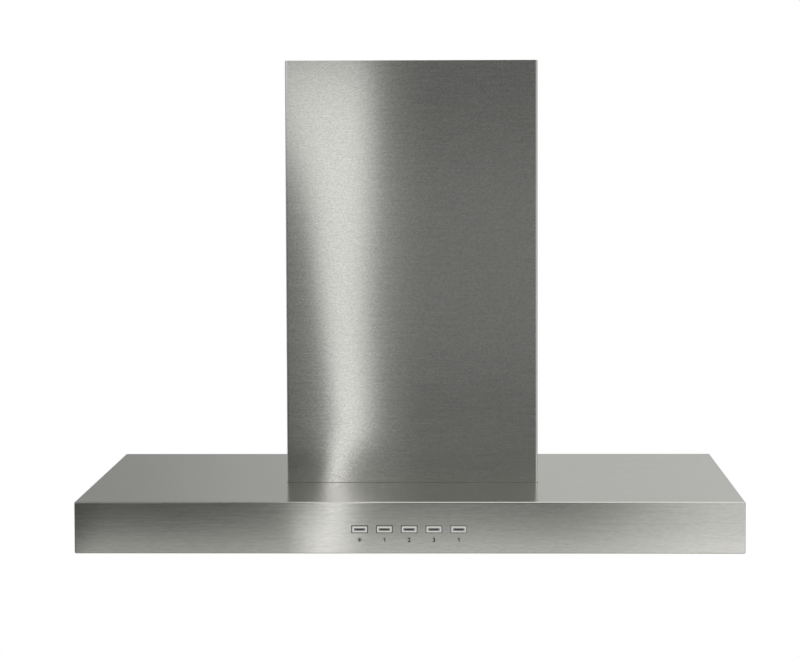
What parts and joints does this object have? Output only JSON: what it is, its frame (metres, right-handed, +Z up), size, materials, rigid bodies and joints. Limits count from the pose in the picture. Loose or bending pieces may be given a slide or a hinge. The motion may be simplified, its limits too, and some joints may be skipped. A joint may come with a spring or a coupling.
{
  "type": "chimney range hood",
  "caption": "Wall-hung chimney range hood: a flat box canopy with push buttons, baffle filters and lamps, a telescopic square chimney, and a ducted centrifugal fan.",
  "frame": {"origin": "middle of the hood's footprint, on the plane of the canopy's bottom rim", "axes": "+X to the right as seen from the front, -Y out of the front, +Y into the wall, +Z up"},
  "size_m": [0.9, 0.5, 0.665],
  "materials": {
    "brushed_stainless": "horizontal brushed grain",
    "galvanised": "galvanised, dull",
    "filter_steel": "satin stainless",
    "zinc_screws": "bright zinc plated",
    "black_plastic": "black, fine texture",
    "grey_plastic": "grey, satin",
    "white_nylon": "natural nylon",
    "button_metal": "satin plated cap",
    "button_insert": "dark gloss insert",
    "lens_glass": "frosted lens",
    "lamp_white": "opal lamp",
    "rubber_black": "black rubber",
    "motor_paint": "black motor paint",
    "shaft_steel": "ground steel",
    "bearing_bronze": "sintered bronze",
    "capacitor_can": "plain can"
  },
  "bodies": {
    "hood": {"canopy_shell": "brushed_stainless", "canopy_back": "galvanised", "underside_rim": "brushed_stainless", "filter_pan": "brushed_stainless", "lamp_bulbs": "lamp_white", "switch_block": "black_plastic", "switch_nuts": "zinc_screws", "lower_chimney": "brushed_stainless", "chimney_screws": "zinc_screws", "motor_casing": "galvanised", "casing_screws": "zinc_screws", "scroll_wrap": "galvanised", "scroll_side_right": "galvanised", "scroll_side_left": "galvanised", "motor_body": "motor_paint", "motor_bearings": "bearing_bronze", "motor_bracket": "galvanised", "motor_grommets": "rubber_black", "outlet_collar": "black_plastic", "junction_box": "grey_plastic", "junction_lid": "grey_plastic", "cable_gland": "black_plastic", "capacitor": "capacitor_can", "lamp_transformer": "white_nylon", "lamp_left_bezel": "button_metal", "lamp_left_lens": "lens_glass", "lamp_left_can": "galvanised", "lamp_right_bezel": "button_metal", "lamp_right_lens": "lens_glass", "lamp_right_can": "galvanised"},
    "filter_left": {"filter_left_frame": "filter_steel", "filter_left_baffles": "filter_steel", "filter_left_clips": "filter_steel", "filter_left_knob": "filter_steel"},
    "filter_centre": {"filter_centre_frame": "filter_steel", "filter_centre_baffles": "filter_steel", "filter_centre_clips": "filter_steel", "filter_centre_knob": "filter_steel"},
    "filter_right": {"filter_right_frame": "filter_steel", "filter_right_baffles": "filter_steel", "filter_right_clips": "filter_steel", "filter_right_knob": "filter_steel"},
    "button_light": {"button_light": "button_metal", "button_light_insert": "button_insert"},
    "button_speed_1": {"button_speed_1": "button_metal", "button_speed_1_insert": "button_insert"},
    "button_speed_2": {"button_speed_2": "button_metal", "button_speed_2_insert": "button_insert"},
    "button_speed_3": {"button_speed_3": "button_metal", "button_speed_3_insert": "button_insert"},
    "button_power": {"button_power": "button_metal", "button_power_insert": "button_insert"},
    "upper_cover": {"upper_chimney": "brushed_stainless", "upper_bracket": "galvanised", "bracket_screws": "zinc_screws", "chimney_glides": "white_nylon"},
    "rotor": {"impeller": "galvanised", "motor_shaft": "shaft_steel"},
    "flap_left": {"damper_flap_left": "grey_plastic"},
    "flap_right": {"damper_flap_right": "grey_plastic"}
  },
  "joints": [
    {"name": "filter_left_tilt", "type": "hinge", "parent": "hood", "child": "filter_left", "pos_m": [0, 0.212, 0.0151], "axis": [1, 0, 0], "range_deg": [0, 75]},
    {"name": "filter_centre_tilt", "type": "hinge", "parent": "hood", "child": "filter_centre", "pos_m": [0, 0.212, 0.0151], "axis": [1, 0, 0], "range_deg": [0, 75]},
    {"name": "filter_right_tilt", "type": "hinge", "parent": "hood", "child": "filter_right", "pos_m": [0, 0.212, 0.0151], "axis": [1, 0, 0], "range_deg": [0, 75]},
    {"name": "button_light_press", "type": "slide", "parent": "hood", "child": "button_light", "axis": [0, 1, 0], "range_m": [0, 0.0018], "stiffness_N_per_m": 400, "springref_m": -0.002},
    {"name": "button_speed_1_press", "type": "slide", "parent": "hood", "child": "button_speed_1", "axis": [0, 1, 0], "range_m": [0, 0.0018], "stiffness_N_per_m": 400, "springref_m": -0.002},
    {"name": "button_speed_2_press", "type": "slide", "parent": "hood", "child": "button_speed_2", "axis": [0, 1, 0], "range_m": [0, 0.0018], "stiffness_N_per_m": 400, "springref_m": -0.002},
    {"name": "button_speed_3_press", "type": "slide", "parent": "hood", "child": "button_speed_3", "axis": [0, 1, 0], "range_m": [0, 0.0018], "stiffness_N_per_m": 400, "springref_m": -0.002},
    {"name": "button_power_press", "type": "slide", "parent": "hood", "child": "button_power", "axis": [0, 1, 0], "range_m": [0, 0.0018], "stiffness_N_per_m": 400, "springref_m": -0.002},
    {"name": "upper_cover_slide", "type": "slide", "parent": "hood", "child": "upper_cover", "axis": [0, 0, 1], "range_m": [0, 0.4]},
    {"name": "wheel_spin", "type": "hinge", "parent": "hood", "child": "rotor", "pos_m": [0, 0.088, 0.214], "axis": [1, 0, 0], "continuous": true},
    {"name": "flap_right_swing", "type": "hinge", "parent": "hood", "child": "flap_right", "pos_m": [0.005, 0.16, 0.38605], "axis": [0, -1, 0], "range_deg": [0, 80]},
    {"name": "flap_left_swing", "type": "hinge", "parent": "hood", "child": "flap_left", "pos_m": [-0.005, 0.16, 0.38605], "axis": [0, 1, 0], "range_deg": [0, 80]}
  ]
}
